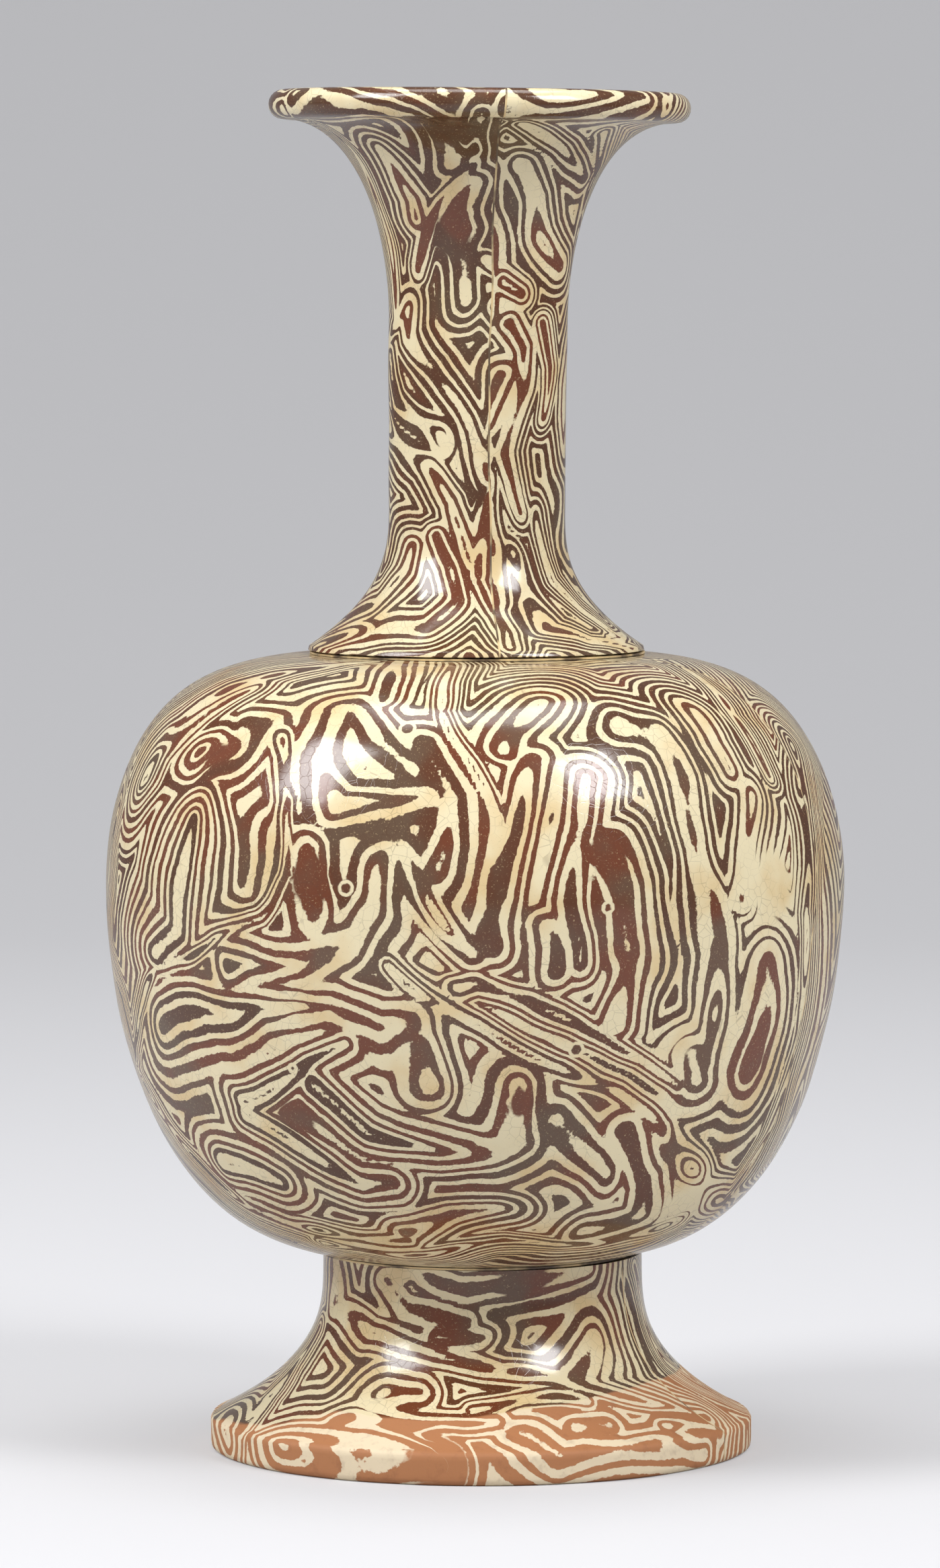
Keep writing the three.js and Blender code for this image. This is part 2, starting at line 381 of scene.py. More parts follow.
def leaning(low, high, tilt=0.0):
    """Sideways lean of a stage, from its shift at a low and at a high place, each given as
    (height, shift), and the tilt of its lip."""
    (low_z, low_shift), (high_z, high_shift) = low, high

    def move(place):
        moved = place.copy()
        up = np.clip((place[:, 2] - low_z) / (high_z - low_z), 0, 1)
        near_lip = np.clip((place[:, 2] - TILT_START_Z) / TILT_REACH, 0, 1)
        moved[:, 0] += low_shift + (high_shift - low_shift) * up
        moved[:, 2] -= math.tan(tilt) * place[:, 0] * near_lip
        return moved
    return move


# Marbling

PHOTO_HEIGHT = 2332
PHOTO_CENTRE_X = 699
PHOTO_CENTRE_Y = 1166

# A cream and a brown layer together are FOLD_THINNING * coarseness ** FOLD_SPREAD mm thick
FOLD_THINNING = 0.64
FOLD_SPREAD = 1.25
FOLD_SHARPNESS = 5.0
FOLD_ROUNDING = 0.4
LEAST_CLOSENESS = 1e-300
SWAY = 1.0
SWAY_LENGTH = 26
TREMBLE = 0.12
TREMBLE_LENGTH = 9
LAYER_SLANT = np.array([0.06, 0.02, 0.03])
LAYER_SWELL = 0.6
LAYER_SWELL_LENGTH = 45

# A fold is the coarseness of its layers, then the line that they nest round. The line's points
# were picked and are pixels of the photograph, from its left edge and from its top
BODY_FOLDS = {
    "left_limb": (1.2, (215, 1090), (185, 1180), (165, 1290), (165, 1400), (185, 1480), (205, 1560)),
    "left_shoulder": (1.4, (225, 1150), (260, 1080), (330, 1030), (430, 1000), (560, 985)),
    "left_chevron": (1.9, (390, 1020), (300, 1065), (250, 1105), (229, 1145)),
    "left_arch": (2.2, (297, 1235), (290, 1300), (275, 1380), (240, 1420)),
    "shoulder_wave": (2.3, (300, 1120), (330, 1108), (370, 1112), (395, 1075)),
    "shoulder_fan": (1.1, (395, 1035), (415, 1080), (432, 1120), (440, 1180), (425, 1290), (390, 1350),
                     (320, 1400), (240, 1450), (212, 1500), (205, 1570)),
    "front_hook": (2.8, (500, 1050), (490, 1110), (515, 1190), (590, 1215), (650, 1212)),
    "front_diagonal": (2.4, (520, 1045), (565, 1100), (605, 1150), (630, 1175)),
    "front_broad": (2.8, (465, 1260), (460, 1310), (470, 1350)),
    "v_left_arm": (1.7, (560, 1240), (590, 1255), (650, 1310), (690, 1370), (720, 1410)),
    "v_right_arm": (1.2, (665, 985), (670, 1060), (715, 1150), (740, 1230), (745, 1330), (728, 1400)),
    "v_heart": (3.0, (650, 1130), (680, 1200), (672, 1290)),
    "arch_foot": (2.0, (800, 1040), (775, 1085), (765, 1120)),
    "arch_stripes": (1.9, (800, 1130), (772, 1220), (760, 1310), (752, 1400)),
    "great_arch": (1.9, (905, 1083), (960, 1100), (1010, 1170), (1040, 1240), (1060, 1310), (1066, 1400),
                   (1062, 1500), (1055, 1580)),
    "middle_stripes": (1.9, (868, 1150), (862, 1250), (856, 1340), (862, 1420)),
    "dark_arch": (2.4, (905, 1262), (940, 1330), (945, 1400)),
    "inner_arch": (1.9, (945, 1430), (932, 1480), (925, 1515)),
    "small_drop": (1.8, (825, 1380), (825, 1435)),
    "long_stream": (1.3, (590, 1440), (640, 1490), (700, 1525), (760, 1552), (850, 1590), (920, 1635),
                    (990, 1690), (1050, 1755), (1095, 1785)),
    "upper_stream": (1.3, (690, 1470), (720, 1460), (790, 1478), (870, 1515), (960, 1575), (1010, 1625)),
    "left_bands": (2.8, (250, 1545), (310, 1500), (400, 1485), (500, 1495), (580, 1530), (620, 1525)),
    "turned_bands": (2.6, (350, 1425), (450, 1418), (530, 1402), (575, 1350), (580, 1290)),
    "drop": (2.2, (632, 1560), (638, 1600)),
    "lens": (2.1, (365, 1640), (420, 1612), (465, 1585), (530, 1558)),
    "lower_limb": (1.4, (215, 1600), (250, 1660), (300, 1725), (360, 1785), (450, 1825), (600, 1842)),
    "diamond": (2.1, (338, 1725), (372, 1742), (430, 1768)),
    "lower_bands": (2.3, (470, 1620), (560, 1682), (650, 1697), (790, 1707)),
    "low_left_bands": (2.1, (370, 1665), (450, 1715), (540, 1755), (590, 1760)),
    "low_arch": (1.9, (600, 1832), (680, 1815), (745, 1803)),
    "red_tongue": (3.0, (785, 1620), (778, 1695)),
    "right_tongue": (2.4, (840, 1680), (862, 1720), (895, 1748)),
    "right_bend": (2.4, (930, 1690), (968, 1750), (955, 1800), (870, 1825)),
    "right_hook": (2.2, (1040, 1060), (1065, 1110), (1090, 1150)),
    "right_drop": (2.2, (1125, 1195), (1112, 1260), (1100, 1310)),
    "right_patch": (3.2, (1135, 1440), (1132, 1490), (1115, 1580)),
    "right_u": (2.8, (1036, 1560), (1040, 1612)),
    "right_limb": (1.2, (1180, 1100), (1200, 1200), (1206, 1350), (1200, 1480), (1182, 1580), (1150, 1680),
                   (1090, 1772)),
    "right_shoulder": (1.3, (1010, 985), (1090, 1050), (1160, 1160)),
    "under_collar": (1.1, (700, 974), (850, 972), (990, 984)),
    "collar_rays": (2.0, (600, 980), (575, 1040)),
    "bottom": (1.2, (480, 1850), (600, 1860), (750, 1856), (900, 1842), (1020, 1805)),
}

NECK_FOLDS = {
    "left_bundle": (1.2, (480, 190), (530, 230), (562, 300), (583, 400), (588, 470)),
    "left_v": (2.0, (560, 215), (590, 250), (618, 290), (625, 325)),
    "diagonal": (1.3, (745, 180), (695, 240), (662, 295), (642, 350), (620, 400)),
    "dark_throat": (2.6, (590, 168), (645, 205), (662, 225)),
    "dark_middle": (2.6, (700, 270), (690, 330), (700, 350)),
    "right_box": (2.0, (775, 262), (800, 300), (805, 340), (830, 380)),
    "right_bundle": (1.2, (890, 195), (885, 250), (862, 310), (853, 400)),
    "right_bands": (1.5, (780, 185), (830, 222), (868, 262)),
    "lip_split": (1.8, (688, 130), (697, 165), (690, 215)),
    "lip_left": (2.4, (445, 140), (540, 160), (620, 168)),
    "lip_right": (2.4, (740, 155), (860, 155), (960, 145)),
    "lip_end_left": (1.8, (415, 135), (420, 155)),
    "lip_end_right": (1.8, (985, 130), (990, 160)),
    "u_drop": (1.9, (702, 330), (700, 440), (700, 450)),
    "curl": (1.4, (735, 405), (765, 425)),
    "left_column": (2.0, (605, 450), (612, 490), (640, 540), (660, 590), (690, 650), (720, 690)),
    "left_low": (1.8, (580, 520), (585, 570), (595, 610), (630, 640)),
    "pointed": (2.0, (740, 560), (725, 640)),
    "right_column": (1.5, (745, 470), (770, 520), (772, 600), (765, 690), (790, 760)),
    "right_long": (1.3, (800, 480), (815, 560), (815, 640)),
    "right_limb": (1.1, (845, 470), (842, 560), (842, 640), (835, 760), (850, 850)),
    "left_fan": (1.5, (575, 640), (620, 680), (660, 730), (690, 790), (715, 850)),
    "left_arch": (1.8, (615, 815), (605, 860), (560, 905), (500, 925)),
    "low_left": (1.6, (650, 790), (680, 850), (690, 900), (640, 935), (560, 945), (480, 955)),
    "middle": (1.7, (728, 730), (728, 800), (725, 870)),
    "low_middle": (1.4, (725, 880), (750, 925), (760, 955)),
    "low_right": (1.4, (760, 810), (770, 870), (800, 920), (860, 950), (940, 962)),
    "low_right_limb": (1.3, (815, 760), (815, 850), (850, 900), (905, 940)),
}

FOOT_FOLDS = {
    "long_sweep": (1.5, (492, 1885), (503, 1950), (545, 1985), (640, 2010), (740, 2035), (860, 2070),
                   (950, 2088), (1050, 2108)),
    "left_sweep": (1.4, (475, 1985), (435, 2035), (385, 2085), (352, 2125)),
    "left_edge": (2.4, (325, 2105), (330, 2150)),
    "eye": (2.3, (565, 2062), (610, 2065)),
    "upper_left": (2.0, (600, 1890), (560, 1912), (590, 1950), (680, 1965)),
    "dark_upper": (2.4, (620, 1900), (680, 1915), (760, 1905), (860, 1895)),
    "lens": (1.9, (635, 1985), (705, 1988)),
    "highlight_patch": (2.8, (860, 2000), (840, 2050)),
    "right_sweep": (1.2, (930, 1900), (945, 1960), (985, 2030), (1050, 2070), (1100, 2095)),
    "edge_eye": (1.8, (985, 2125), (1045, 2118)),
    "edge_lens": (2.0, (855, 2132), (900, 2126)),
    "edge_band": (2.8, (420, 2145), (530, 2140), (590, 2165), (640, 2190)),
    "edge_arc": (2.0, (520, 2100), (600, 2118), (680, 2112), (740, 2108)),
    "edge_u": (2.6, (780, 2130), (830, 2175), (940, 2165), (1040, 2150)),
    "fan": (1.4, (700, 2090), (780, 2080), (860, 2095)),
}

# Round burst bubbles, as radius in millimetres and the pixel of the photograph
BODY_SPOTS = {
    "shoulder": (0.9, (606, 1084)),
    "front_left": (0.8, (515, 1321)),
    "front_right": (0.6, (904, 1350)),
    "lower_right": (0.8, (857, 1561)),
    "lower_left": (0.5, (437, 1588)),
}
FOOT_SPOTS = {
    "edge_left": (0.5, (450, 2173)),
}

# Places with more cream (above 0) or brown (below 0), their size in millimetres and the pixel
BODY_PATCHES = {
    "right_cream": (1.6, 8.0, (1150, 1320)),
    "right_low_cream": (1.4, 6.0, (1010, 1790)),
    "right_middle_cream": (1.3, 4.0, (1015, 1560)),
    "front_cream": (1.2, 4.0, (650, 1385)),
    "front_brown": (-1.3, 4.5, (467, 1310)),
    "arch_brown": (-1.5, 4.0, (905, 1270)),
    "left_brown": (-1.2, 3.5, (330, 1135)),
    "right_brown": (-1.2, 4.0, (1125, 1575)),
    "belly_cream": (1.2, 5.0, (440, 1500)),
    "low_brown": (-1.2, 4.0, (440, 1665)),
    "tongue_brown": (-1.2, 3.0, (780, 1640)),
}
NECK_PATCHES = {
    "throat_brown": (-1.4, 6.0, (665, 190)),
    "middle_brown": (-1.4, 5.0, (672, 350)),
    "column_cream": (1.4, 3.0, (665, 660)),
    "low_cream": (1.2, 3.0, (760, 740)),
    "low_brown": (-1.2, 2.5, (722, 740)),
}
FOOT_PATCHES = {
    "left_cream": (1.5, 4.0, (560, 2090)),
    "right_cream": (1.2, 4.0, (900, 2030)),
    "edge_brown": (-1.4, 7.0, (640, 2185)),
    "upper_brown": (-1.2, 5.0, (780, 1905)),
}


SIGHT_REACH = 70
SIGHT_STEPS = 700


def outer_radius(line, height):
    """Radius of an outline's outer line at a height."""
    order = np.argsort(line[:, 1], kind="stable")
    return np.interp(height, line[order, 1], line[order, 0])


def on_surface(pixel, line):
    """The place on a turned surface that the camera sees at a pixel of the photograph, or the
    place nearest to it where the pixel is just off the surface."""
    focal = CAMERA_LENS / CAMERA_SENSOR * PHOTO_HEIGHT
    across = (pixel[0] - PHOTO_CENTRE_X) / focal
    down = (pixel[1] - PHOTO_CENTRE_Y) / focal
    ahead = math.cos(CAMERA_PITCH) - down * math.sin(CAMERA_PITCH)
    drop = math.sin(CAMERA_PITCH) + down * math.cos(CAMERA_PITCH)
    travel = np.linspace(CAMERA_DISTANCE - SIGHT_REACH, CAMERA_DISTANCE, SIGHT_STEPS) / ahead
    x = -CAMERA_LEFT + across * travel
    y = -CAMERA_DISTANCE + ahead * travel
    z = CAMERA_HEIGHT - drop * travel
    outside = np.hypot(x, y) - outer_radius(line, z)
    hit = np.argmax(outside <= 0) if np.any(outside <= 0) else np.argmin(outside)
    return x[hit], y[hit], z[hit]


def drawn_folds(folds, line):
    """Drawn folds as (coarseness, places on the surface)."""
    return [(fold[0], np.array([on_surface(pixel, line) for pixel in fold[1:]]))
            for fold in folds.values()]


def drawn_spots(spots, line):
    return [(radius, np.array(on_surface(pixel, line))) for radius, pixel in spots.values()]


def drawn_patches(patches, line):
    return [(strength, size, np.array(on_surface(pixel, line)))
            for strength, size, pixel in patches.values()]


BACK_FIRST = math.radians(95)
BACK_LAST = math.radians(265)
WANDER_STEP = 6.0
WANDER_TURN = 0.35
WANDER_SPREAD = 0.45
COARSENESSES = [1.2, 1.5, 1.9, 2.2, 2.7]


def wandering_folds(seed, line, count, low, high):
    """Folds for the back, which the photograph doesn't show, between two heights."""
    rng = np.random.default_rng(seed)
    folds = []
    for k in range(count):
        azimuth = BACK_FIRST + (BACK_LAST - BACK_FIRST) * (k + rng.uniform(0.2, 0.8)) / count
        height = rng.uniform(low, high)
        heading = math.pi / 2 + rng.normal(0, WANDER_SPREAD)
        places = []
        for step in range(rng.integers(3, 8)):
            radius = float(outer_radius(line, height))
            places.append((radius * math.sin(azimuth), -radius * math.cos(azimuth), height))
            heading += rng.normal(0, WANDER_TURN)
            azimuth += WANDER_STEP * math.cos(heading) / radius
            height = min(max(height - WANDER_STEP * math.sin(heading), low), high)
        folds.append((rng.choice(COARSENESSES), np.array(places)))
    return folds


def distance_to(places, start, end):
    """Distance of each place to a straight piece of a fold."""
    along = end - start
    share = np.clip((places - start) @ along / max(float(along @ along), 1e-9), 0, 1)
    return np.linalg.norm(places - start - share[:, None] * along, axis=1)


def shaken(places, seed, wavelength):
    """Three ripples that move a place along X, Y and Z."""
    return np.stack([ripple(places, seed + axis, wavelength) for axis in range(3)], 1)


def nested_layers(places, folds, seed):
    """Count of layers between each place and its nearest folds, smooth where folds meet."""
    sway = shaken(places, seed, SWAY_LENGTH)
    tremble = shaken(places, seed + 3, TREMBLE_LENGTH)
    moved = places + SWAY * sway + TREMBLE * tremble
    closeness = np.zeros(len(places))
    for coarseness, line in folds:
        nearest = np.full(len(places), np.inf)
        for start, end in zip(line[:-1], line[1:]):
            nearest = np.minimum(nearest, distance_to(moved, start, end))
        nearest = np.hypot(nearest, FOLD_ROUNDING)
        thickness = FOLD_THINNING * coarseness ** FOLD_SPREAD
        closeness += np.exp(-FOLD_SHARPNESS * nearest / thickness)
    layers = -np.log(np.maximum(closeness, LEAST_CLOSENESS)) / FOLD_SHARPNESS
    swell = ripple(places, seed + 7, LAYER_SWELL_LENGTH)
    return layers + places @ LAYER_SLANT + LAYER_SWELL * swell


def marble(folds, seed):
    """The layer count over a piece, from its folds."""
    def layers(places):
        return nested_layers(places, folds, seed)
    return layers


def plain_layers(places):
    return np.zeros(len(places))


# Materials

class Nodes:
    """Short ways to add and link the shader nodes of a material or world, emptied first."""

    def __init__(self, owner):
        owner.use_nodes = True
        self.tree = owner.node_tree
        self.tree.nodes.clear()

    def add(self, kind, inputs=None, **settings):
        node = self.tree.nodes.new(kind)
        for key, value in settings.items():
            setattr(node, key, value)
        for key, value in (inputs or {}).items():
            if isinstance(value, bpy.types.NodeSocket):
                self.tree.links.new(value, node.inputs[key])
            else:
                node.inputs[key].default_value = value
        return node

    def math(self, operation, a, b=None, c=None):
        inputs = {0: a}
        if b is not None:
            inputs[1] = b
        if c is not None:
            inputs[2] = c
        return self.add("ShaderNodeMath", inputs, operation=operation).outputs[0]

    def mix(self, factor, a, b):
        node = self.tree.nodes.new("ShaderNodeMix")
        node.data_type = "RGBA"
        for key, value in (("Factor", factor), ("A", a), ("B", b)):
            socket = next(s for s in node.inputs if s.name == key and s.enabled)
            if isinstance(value, bpy.types.NodeSocket):
                self.tree.links.new(value, socket)
            else:
                socket.default_value = value
        return next(s for s in node.outputs if s.enabled)

    def noise(self, vector, scale, detail=2.0, roughness=0.5):
        node = self.add("ShaderNodeTexNoise", {"Vector": vector, "Scale": scale, "Detail": detail,
                                               "Roughness": roughness})
        return node.outputs["Fac"]

    def noise_along(self, value, scale, detail=1.0):
        node = self.add("ShaderNodeTexNoise", {"W": value, "Scale": scale, "Detail": detail},
                        noise_dimensions="1D")
        return node.outputs["Fac"]

    def field(self, name):
        node = self.add("ShaderNodeAttribute", attribute_name=name, attribute_type="GEOMETRY")
        return node.outputs["Fac"]

    def step(self, value, low, high):
        """A smooth rise from 0 at low to 1 at high; low may be the greater."""
        node = self.add("ShaderNodeMapRange", {"Value": value, "From Min": low, "From Max": high},
                        interpolation_type="SMOOTHSTEP")
        return node.outputs["Result"]


def srgb(r, g, b):
    return tuple(((c / 255) / 12.92 if c / 255 <= 0.04045 else ((c / 255 + 0.055) / 1.055) ** 2.4)
                 for c in (r, g, b)) + (1.0,)


CREAM = srgb(236, 222, 184)
CREAM_WARM = srgb(226, 200, 150)
BROWN = srgb(84, 52, 31)
BROWN_RED = srgb(112, 58, 33)
BROWN_GREY = srgb(98, 80, 62)
BARE_CREAM = srgb(236, 218, 186)
BARE_ORANGE = srgb(180, 120, 76)
PAPER = srgb(186, 186, 189)
PAPER_GLOW = srgb(235, 235, 238)
HORIZON = srgb(228, 228, 231)

# The glaze's lower edge rises from left to front, then climbs with X; places are metres
GLAZED = 1.0
GLAZE_LEFT_X = -0.042
GLAZE_FRONT_X = -0.022
GLAZE_EDGE_LEFT = 0.0050
GLAZE_EDGE_FRONT = 0.0095
GLAZE_EDGE_CLIMB = 0.09
GLAZE_EDGE_WOBBLE = 0.004
GLAZE_EDGE_BLUR = 0.0002
GLAZE_ROUGHNESS = 0.12
BARE_ROUGHNESS = 0.64


def above_glaze_line(n, place):
    """Height in metres over the glaze's lower edge, which climbs from left to right."""
    parts = n.add("ShaderNodeSeparateXYZ", {0: place}).outputs
    left = n.add("ShaderNodeMapRange", {
        "Value": parts["X"], "From Min": GLAZE_LEFT_X, "From Max": GLAZE_FRONT_X,
        "To Min": GLAZE_EDGE_LEFT, "To Max": GLAZE_EDGE_FRONT})
    line = n.math("MULTIPLY_ADD", n.math("MAXIMUM", parts["X"], 0.0), GLAZE_EDGE_CLIMB, left.outputs[0])
    wobble = n.math("MULTIPLY_ADD", n.noise(place, 45, 3), GLAZE_EDGE_WOBBLE, -GLAZE_EDGE_WOBBLE / 2)
    return n.math("SUBTRACT", parts["Z"], n.math("ADD", line, wobble))


# A noise's scale is waves per metre, or waves per layer along the layer count. A pair is the
# factor and shift of a noise, or the two values between which something sets in
FRAY_SCALE = 1100
FRAY = (0.22, -0.11)
DRIFT_SCALE = 220
DRIFT = (0.30, -0.15)
UNEVEN_SCALE = 0.55
UNEVEN_LAYERS = (1.0, -0.5)
BIAS_SCALE = 0.9
BROWN_BIAS = (1.3, -0.65)
PATCH_SCALE = 35
PATCHINESS = (0.8, -0.40)
BROWN_SETS_IN = (-0.24, -0.02)
SPOT_RING = (0.45, 0.60)
SPOT_HEART = (0.12, -0.05)
GRAIN_SCALE = 3200
SPECKS = (0.60, 0.70)
SPECK_SHARE = 0.45
PITS = (0.36, 0.30)
PIT_SHARE = 0.25
HUE_SCALE = 0.35
RED_LAYERS = (0.42, 0.60)
GREY_SCALE = 60
GREY_PATCHES = (0.45, 0.62)
GREY_SHARE = 0.75
WARM_SCALE = 90
WARM_PATCHES = (0.45, 0.70)
CELL_SCALE = 620.0
CRACK_WIDTH = 0.035
CRACK_SHARE = 0.35
CRACK_FADE_SCALE = 80
CRACKS_SHOW = (0.35, 0.60)
DIRT_SCALE = 400
DIRT = (0.50, 0.75)
DIRT_SHARE = 0.22
GLOSS_SCALE = 300
GLOSS_CHANGE = 0.06
SWELL_SCALE = 260
SWELL_SHARE = 0.6
CRACK_DEPTH = -0.15
BROWN_STANDS_OUT = 0.10


def darkness(n, place, layer):
    """1 where the clay is brown and 0 where it is cream, with the burst bubbles in it."""
    fray = n.math("MULTIPLY_ADD", n.noise(place, FRAY_SCALE, 3, 0.6), *FRAY)
    drift = n.math("MULTIPLY_ADD", n.noise(place, DRIFT_SCALE, 2), *DRIFT)
    count = n.math("ADD", layer, n.math("ADD", fray, drift))
    wander = n.math("MULTIPLY_ADD", n.noise_along(layer, UNEVEN_SCALE), *UNEVEN_LAYERS)
    wave = n.math("SINE", n.math("MULTIPLY", n.math("ADD", count, wander), 2 * math.pi))
    bias = n.math("MULTIPLY_ADD", n.noise_along(layer, BIAS_SCALE), *BROWN_BIAS)
    patch = n.math("MULTIPLY_ADD", n.noise(place, PATCH_SCALE, 2), *PATCHINESS)
    level = n.math("SUBTRACT", n.math("ADD", wave, n.math("ADD", bias, patch)), n.field("pale"))
    spot = n.field("spot")
    dark = n.math("MULTIPLY", n.step(level, *BROWN_SETS_IN), n.step(spot, *SPOT_RING))
    return n.math("MAXIMUM", dark, n.step(spot, *SPOT_HEART))


def crackle_lines(n, place):
    """Fine net of cracks in the glaze, which fades out in places."""
    cells = n.add("ShaderNodeTexVoronoi", {"Vector": place, "Scale": CELL_SCALE, "Randomness": 1.0},
                  feature="DISTANCE_TO_EDGE").outputs["Distance"]
    shown = n.step(n.noise(place, CRACK_FADE_SCALE, 2), *CRACKS_SHOW)
    return n.math("MULTIPLY", n.step(cells, CRACK_WIDTH, 0.0), shown)


def glazed_colour(n, place, layer, dark, crackle):
    """Warm cream and red or grey brown, with specks and pits, under the crackled glaze."""
    grain = n.noise(place, GRAIN_SCALE, 3, 0.7)
    speck = n.step(grain, *SPECKS)
    hue = n.noise_along(layer, HUE_SCALE, 2)
    brown = n.mix(n.step(hue, *RED_LAYERS), BROWN, BROWN_RED)
    grey = n.step(n.noise(place, GREY_SCALE, 3), *GREY_PATCHES)
    brown = n.mix(n.math("MULTIPLY", grey, GREY_SHARE), brown, BROWN_GREY)
    brown = n.mix(n.math("MULTIPLY", speck, SPECK_SHARE), brown, CREAM_WARM)
    cream = n.mix(n.step(n.noise(place, WARM_SCALE, 3), *WARM_PATCHES), CREAM, CREAM_WARM)
    cream = n.mix(n.math("MULTIPLY", n.step(grain, *PITS), PIT_SHARE), cream, BROWN)
    glazed = n.mix(dark, cream, brown)
    return n.mix(n.math("MULTIPLY", crackle, CRACK_SHARE), glazed, BROWN)


def bare_colour(n, place, dark):
    """Cream and orange of the unglazed clay, a little dirty."""
    bare = n.mix(dark, BARE_CREAM, BARE_ORANGE)
    dirt = n.step(n.noise(place, DIRT_SCALE, 3, 0.7), *DIRT)
    return n.mix(n.math("MULTIPLY", dirt, DIRT_SHARE), bare, BROWN_RED)


def surface_bump(n, place, dark, crackle):
    """Slight swells of the glaze, with the cracks cut in and the brown standing out."""
    skin = n.math("ADD", n.math("MULTIPLY", n.noise(place, SWELL_SCALE, 2), SWELL_SHARE),
                  n.math("MULTIPLY", crackle, CRACK_DEPTH))
    skin = n.math("ADD", skin, n.math("MULTIPLY", dark, BROWN_STANDS_OUT))
    return n.add("ShaderNodeBump", {"Height": skin, "Strength": 0.25, "Distance": 0.0002}).outputs[0]


def marbled_clay(name, bare_edge=False):
    """Cream and brown layers under a crackled glaze; with bare_edge the foot's edge is unglazed."""
    material = bpy.data.materials.new(name)
    n = Nodes(material)
    place = n.add("ShaderNodeTexCoord").outputs["Object"]
    layer = n.field("layer")
    dark = darkness(n, place, layer)
    crackle = crackle_lines(n, place)
    glazed_here = GLAZED
    if bare_edge:
        glazed_here = n.step(above_glaze_line(n, place), -GLAZE_EDGE_BLUR, GLAZE_EDGE_BLUR)
    glazed = glazed_colour(n, place, layer, dark, crackle)
    colour = n.mix(glazed_here, bare_colour(n, place, dark), glazed)
    roughness = n.math("MULTIPLY_ADD", glazed_here, GLAZE_ROUGHNESS - BARE_ROUGHNESS, BARE_ROUGHNESS)
    change = n.math("MULTIPLY", n.noise(place, GLOSS_SCALE, 2), GLOSS_CHANGE)
    shader = n.add("ShaderNodeBsdfPrincipled", {
        "Base Color": colour, "Roughness": n.math("ADD", roughness, change),
        "Normal": surface_bump(n, place, dark, crackle), "IOR": 1.6})
    n.add("ShaderNodeOutputMaterial", {"Surface": shader.outputs[0]})
    return material


def slip_clay():
    """Fine pale slip with a little brown washed into it."""
    material = bpy.data.materials.new("joint_slip")
    n = Nodes(material)
    place = n.add("ShaderNodeTexCoord").outputs["Object"]
    colour = n.mix(n.step(n.noise(place, 180, 3), 0.42, 0.62), CREAM_WARM, BROWN_GREY)
    shader = n.add("ShaderNodeBsdfPrincipled", {"Base Color": colour, "Roughness": 0.35, "IOR": 1.5})
    n.add("ShaderNodeOutputMaterial", {"Surface": shader.outputs[0]})
    return material


# Pieces

def dress(piece, node, material):
    piece.data.materials.append(material)
    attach(piece, "root")
    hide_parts(node)


def clay(name, node, outline, limits, folds, seed, lean, material, spots=(), patches=()):
    dress(shell(name, outline, limits, marble(folds, seed), lean, spots, patches), node, material)


def slip_line(name, node, outline, seams, lean, material):
    """The thin slip along one or more seams, as one piece."""
    both = bmesh.new()
    for seam in seams:
        part = shell(name, outline, along_seam(seam), plain_layers, lean)
        both.from_mesh(part.data)
        bpy.data.objects.remove(part)
    mesh = bpy.data.meshes.new(name)
    both.to_mesh(mesh)
    both.free()
    dress(link(name, mesh), node, material)


body_line = body_outline(SKIN_SPACING)
foot_line = foot_outline(SKIN_SPACING)
neck_line = neck_outline(SKIN_SPACING)
foot_lean = leaning((0, 0.6), (FOOT_HEIGHT, 0.7))
body_lean = leaning((FOOT_HEIGHT, 0.1), (60, -0.5))
neck_lean = leaning((CROWN_Z, -0.2), (LIP_TOP_Z, 0.3), tilt=math.radians(0.6))

neck_clay = marbled_clay("neck_marbled_clay")
body_clay = marbled_clay("body_marbled_clay")
foot_clay = marbled_clay("foot_marbled_clay", bare_edge=True)
slip = slip_clay()

body_folds = drawn_folds(BODY_FOLDS, body_line[0])
body_folds += wandering_folds(seed=71, line=body_line[0], count=46, low=32, high=124)
neck_folds = drawn_folds(NECK_FOLDS, neck_line[0])
neck_folds += wandering_folds(seed=72, line=neck_line[0], count=26, low=130, high=213)
foot_folds = drawn_folds(FOOT_FOLDS, foot_line[0])
foot_folds += wandering_folds(seed=73, line=foot_line[0], count=24, low=1, high=30)
body_spots = drawn_spots(BODY_SPOTS, body_line[0])
foot_spots = drawn_spots(FOOT_SPOTS, foot_line[0])
body_patches = drawn_patches(BODY_PATCHES, body_line[0])
neck_patches = drawn_patches(NECK_PATCHES, neck_line[0])
foot_patches = drawn_patches(FOOT_PATCHES, foot_line[0])

# Side 0 of a seam is the half behind it or to its right, side 1 the half in front or to its left
clay("body_back_skin", "body_back", body_line, between_seams(BODY_SEAM, 0), body_folds,
     seed=12, lean=body_lean, material=body_clay, spots=body_spots, patches=body_patches)
clay("body_front_skin", "body_front", body_line, between_seams(BODY_SEAM, 1), body_folds,
     seed=11, lean=body_lean, material=body_clay, spots=body_spots, patches=body_patches)
clay("neck_right_skin", "neck_right", neck_line, between_seams(NECK_SEAM, 0), neck_folds,
     seed=31, lean=neck_lean, material=neck_clay, spots=(), patches=neck_patches)
clay("neck_left_skin", "neck_left", neck_line, between_seams(NECK_SEAM, 1), neck_folds,
     seed=41, lean=neck_lean, material=neck_clay, spots=(), patches=neck_patches)
clay("foot_back_skin", "foot_back", foot_line, between_seams(FOOT_SEAM, 0), foot_folds,
     seed=52, lean=foot_lean, material=foot_clay, spots=foot_spots, patches=foot_patches)
clay("foot_front_skin", "foot_front", foot_line, between_seams(FOOT_SEAM, 1), foot_folds,
     seed=51, lean=foot_lean, material=foot_clay, spots=foot_spots, patches=foot_patches)

